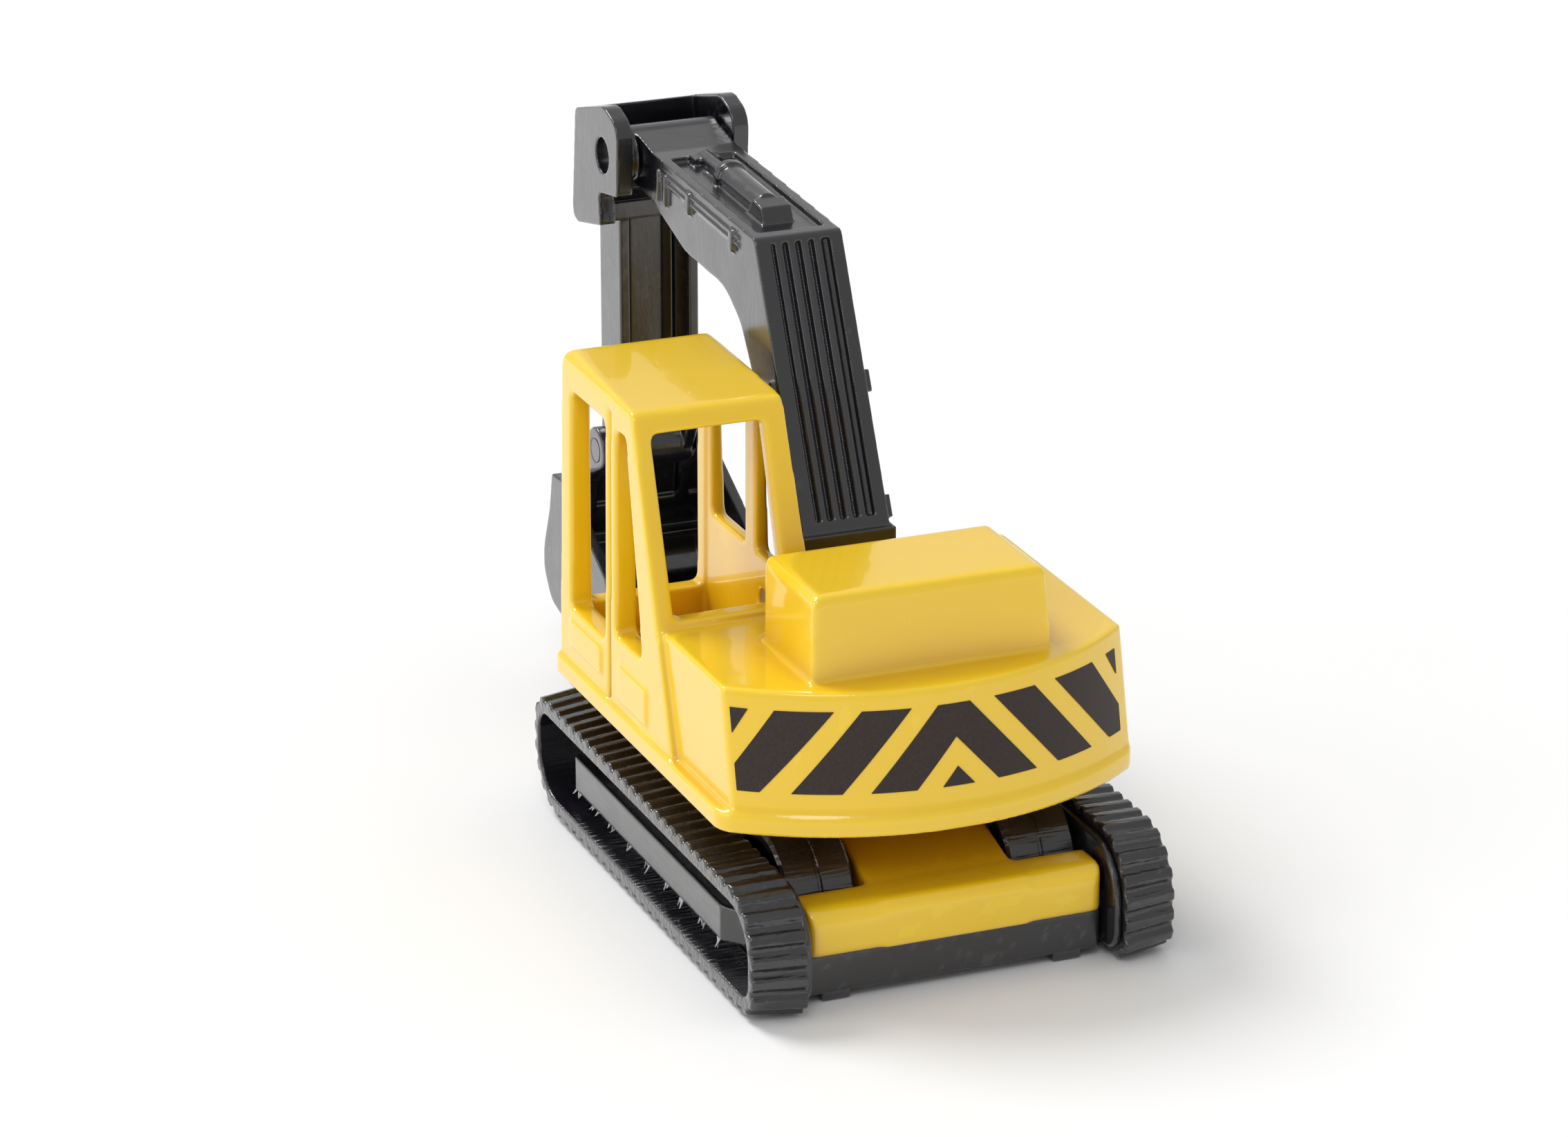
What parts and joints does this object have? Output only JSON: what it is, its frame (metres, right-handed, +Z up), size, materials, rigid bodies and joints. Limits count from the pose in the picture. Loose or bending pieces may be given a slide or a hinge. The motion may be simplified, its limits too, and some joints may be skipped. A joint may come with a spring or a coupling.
{
  "type": "toy excavator",
  "caption": "Pocket die-cast toy excavator: yellow upper and undercarriage on rolling wheels, rigid black tracks, jointed black boom, arm and bucket.",
  "frame": {"origin": "on the floor, under the middle of the toy's length and width as posed at rest", "axes": "+X towards the bucket, +Y towards the cab's side (the driver's left), +Z up"},
  "size_m": [0.0768, 0.035, 0.0535],
  "materials": {
    "yellow_enamel": "glossy enamel",
    "black_print": "thin gloss print",
    "black_plastic": "moulded, half gloss",
    "track_plastic": "moulded, satin",
    "grey_plastic": "moulded, satin",
    "steel": "plain wire"
  },
  "bodies": {
    "undercarriage": {"chassis_frame": "yellow_enamel", "base_plate": "black_plastic", "track_left": "track_plastic", "track_right": "track_plastic", "side_frame_left": "grey_plastic", "side_frame_right": "grey_plastic"},
    "front_wheels": {"front_axle": "steel", "wheel_front_left": "track_plastic", "wheel_front_right": "track_plastic"},
    "rear_wheels": {"rear_axle": "steel", "wheel_rear_left": "track_plastic", "wheel_rear_right": "track_plastic"},
    "upper": {"upper_body": "yellow_enamel", "hazard_print": "black_print", "slew_rivet": "steel", "boom_pin": "steel"},
    "boom_body": {"boom": "black_plastic"},
    "arm_body": {"arm": "black_plastic", "arm_pin": "black_plastic"},
    "bucket_body": {"bucket": "black_plastic", "bucket_pin": "black_plastic"}
  },
  "joints": [
    {"name": "front_roll", "type": "hinge", "parent": "undercarriage", "child": "front_wheels", "pos_m": [-0.00135, 0, 0.0053], "axis": [0, 1, 0], "continuous": true},
    {"name": "rear_roll", "type": "hinge", "parent": "undercarriage", "child": "rear_wheels", "pos_m": [-0.02615, 0, 0.0053], "axis": [0, 1, 0], "continuous": true},
    {"name": "slew", "type": "hinge", "parent": "undercarriage", "child": "upper", "pos_m": [-0.01375, 0, 0.0118], "axis": [0, 0, 1], "continuous": true},
    {"name": "boom_lift", "type": "hinge", "parent": "upper", "child": "boom_body", "pos_m": [-0.00835, -0.001, 0.0222], "axis": [0, -1, 0], "range_deg": [-10, 18]},
    {"name": "arm_swing", "type": "hinge", "parent": "boom_body", "child": "arm_body", "pos_m": [0.02595, -0.001, 0.0493], "axis": [0, -1, 0], "range_deg": [-15, 60]},
    {"name": "bucket_curl", "type": "hinge", "parent": "arm_body", "child": "bucket_body", "pos_m": [0.03245, -0.001, 0.0213], "axis": [0, -1, 0], "range_deg": [-35, 70]}
  ]
}
